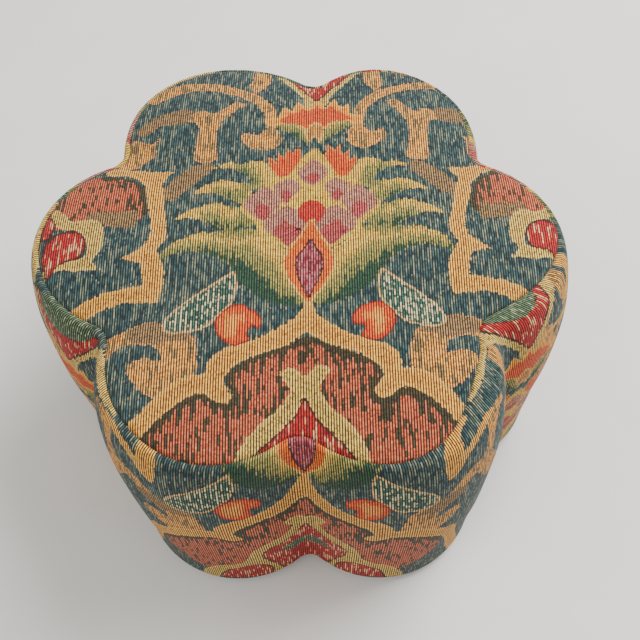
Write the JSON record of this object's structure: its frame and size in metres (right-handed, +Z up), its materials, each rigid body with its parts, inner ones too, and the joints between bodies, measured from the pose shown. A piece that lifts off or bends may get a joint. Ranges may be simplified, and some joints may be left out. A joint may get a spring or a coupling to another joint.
{
  "type": "footstool",
  "caption": "Low upholstered footstool, round-lobed like a flower in plan, with a crowned top panel and a full side band in tapestry cloth.",
  "frame": {"origin": "on the floor, under the middle of the stool", "axes": "+Z up; +X through the middle of one lobe, so the crease between two lobes faces -Y, the picture's front"},
  "size_m": [0.361, 0.3334, 0.2103],
  "materials": {
    "tapestry": "ribbed tapestry weave in teal, tan, rust, olive and mauve",
    "wadding": "fluffy polyester wadding",
    "foam": "open-cell cushion foam",
    "plywood": "sanded birch plywood",
    "softwood": "planed softwood",
    "hardboard": "bent brown hardboard",
    "zinc_screw": "yellow zinc plate",
    "staple_steel": "galvanised wire",
    "dust_cloth": "black non-woven dust cloth",
    "nylon": "moulded black nylon",
    "nail_steel": "bright steel"
  },
  "bodies": {
    "root": {"top_panel": "tapestry", "side_band": "tapestry", "top_wadding": "wadding", "side_wadding": "wadding", "foam_pad": "foam", "top_board": "plywood", "base_board": "plywood", "post_1": "softwood", "post_2": "softwood", "post_3": "softwood", "post_4": "softwood", "post_5": "softwood", "post_6": "softwood", "notch_batten_1": "softwood", "notch_batten_2": "softwood", "notch_batten_3": "softwood", "notch_batten_4": "softwood", "notch_batten_5": "softwood", "notch_batten_6": "softwood", "wall_panel_1": "hardboard", "wall_panel_2": "hardboard", "wall_panel_3": "hardboard", "wall_panel_4": "hardboard", "wall_panel_5": "hardboard", "wall_panel_6": "hardboard", "top_board_screws": "zinc_screw", "base_board_screws": "zinc_screw", "wall_staples": "staple_steel", "hem_staples": "staple_steel", "dust_cover_staples": "staple_steel", "dust_cover": "dust_cloth", "glide_1": "nylon", "glide_2": "nylon", "glide_3": "nylon", "glide_4": "nylon", "glide_5": "nylon", "glide_6": "nylon", "glide_nails": "nail_steel"}
  },
  "joints": []
}
